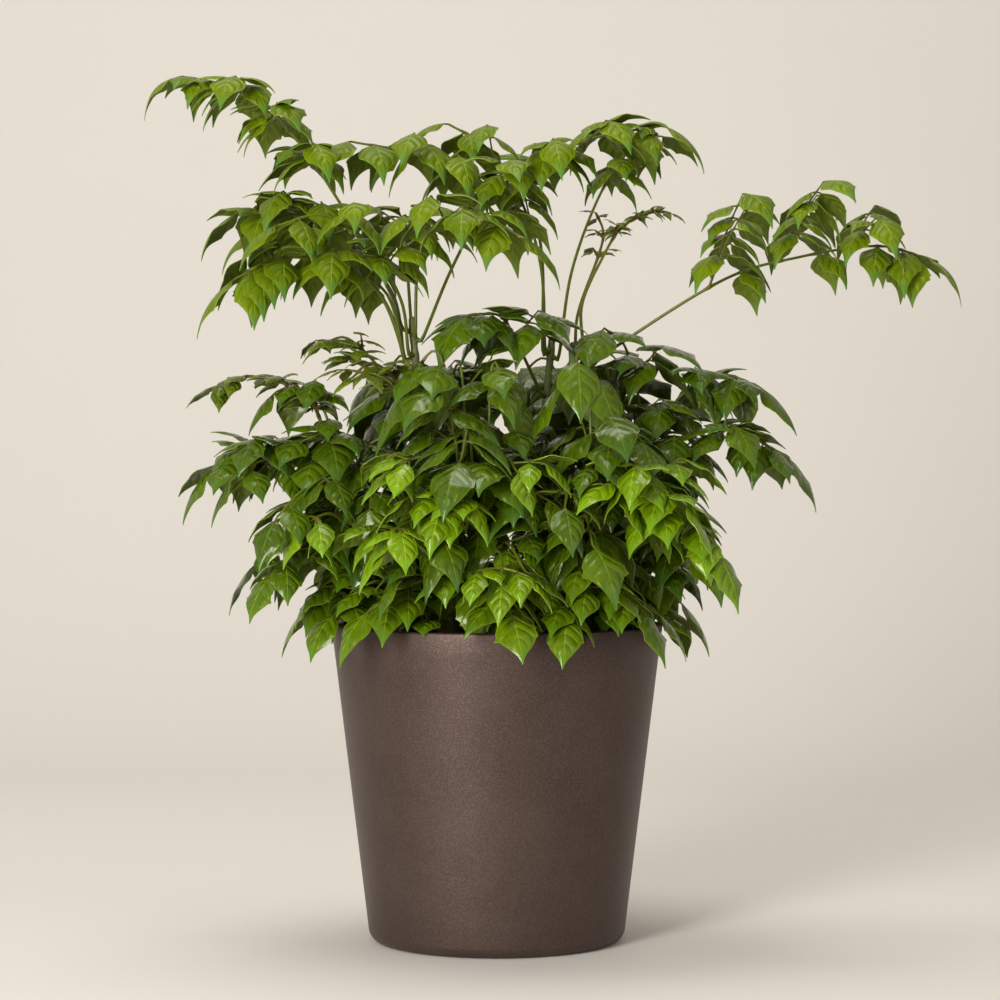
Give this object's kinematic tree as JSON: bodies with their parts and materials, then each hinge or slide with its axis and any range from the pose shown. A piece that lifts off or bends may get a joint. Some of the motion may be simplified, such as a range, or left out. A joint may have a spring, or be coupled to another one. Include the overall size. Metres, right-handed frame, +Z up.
{
  "type": "potted china doll plant",
  "caption": "Bushy potted plant with glossy, toothed compound leaves on slender stems, in a plain tapered cover pot.",
  "frame": {"origin": "centre of the pot's flat foot, on the surface that it stands on", "axes": "+Z up; the picture looks along +Y, with +X to the right"},
  "size_m": [0.4416, 0.252, 0.4671],
  "materials": {
    "pot": "satin, dark warm brown with a fine metallic speckle",
    "soil": "loose dark compost",
    "stem": "smooth green bark, brown towards the foot",
    "crown_leaf": "glossy mid green leaf, new growth",
    "mature_leaf": "glossy dark green leaf",
    "skirt_leaf": "glossy mid green leaf",
    "bright_leaf": "glossy lime green young leaf",
    "young_leaf": "satin green leaf just opened"
  },
  "bodies": {
    "root": {"frond_branch_left": "mature_leaf", "frond_branch_right_high": "mature_leaf", "frond_branch_right_low": "mature_leaf", "frond_bright_front": "bright_leaf", "frond_bright_low_right": "bright_leaf", "frond_bright_middle": "bright_leaf", "frond_bright_right": "bright_leaf", "frond_central": "crown_leaf", "frond_crown_back": "crown_leaf", "frond_crown_left": "crown_leaf", "frond_crown_middle": "crown_leaf", "frond_crown_right": "crown_leaf", "frond_front_fill": "mature_leaf", "frond_low_1": "mature_leaf", "frond_low_2": "mature_leaf", "frond_low_3": "mature_leaf", "frond_low_4": "mature_leaf", "frond_low_5": "mature_leaf", "frond_low_6": "mature_leaf", "frond_low_7": "mature_leaf", "frond_low_8": "mature_leaf", "frond_mid_left": "crown_leaf", "frond_mid_left_low": "crown_leaf", "frond_right_reach": "crown_leaf", "frond_shoulder_1": "mature_leaf", "frond_shoulder_2": "mature_leaf", "frond_shoulder_3": "mature_leaf", "frond_shoulder_4": "mature_leaf", "frond_shoulder_5": "mature_leaf", "frond_skirt_1": "skirt_leaf", "frond_skirt_2": "skirt_leaf", "frond_skirt_3": "skirt_leaf", "frond_skirt_4": "skirt_leaf", "frond_skirt_5": "skirt_leaf", "frond_skirt_6": "skirt_leaf", "frond_skirt_7": "skirt_leaf", "frond_skirt_8": "skirt_leaf", "frond_upper_front": "mature_leaf", "frond_upper_right": "mature_leaf", "frond_waist_1": "mature_leaf", "frond_waist_2": "mature_leaf", "frond_waist_3": "mature_leaf", "frond_waist_4": "mature_leaf", "frond_waist_5": "mature_leaf", "frond_waist_6": "mature_leaf", "frond_young_clump": "young_leaf", "frond_young_left": "young_leaf", "frond_young_side": "young_leaf", "frond_young_top": "young_leaf", "pot": "pot", "soil": "soil", "stem_back_left": "stem", "stem_back_right": "stem", "stem_far_right": "stem", "stem_front": "stem", "stem_front_right": "stem", "stem_left": "stem", "stem_main": "stem", "stem_middle": "stem", "stem_right": "stem"}
  },
  "joints": []
}
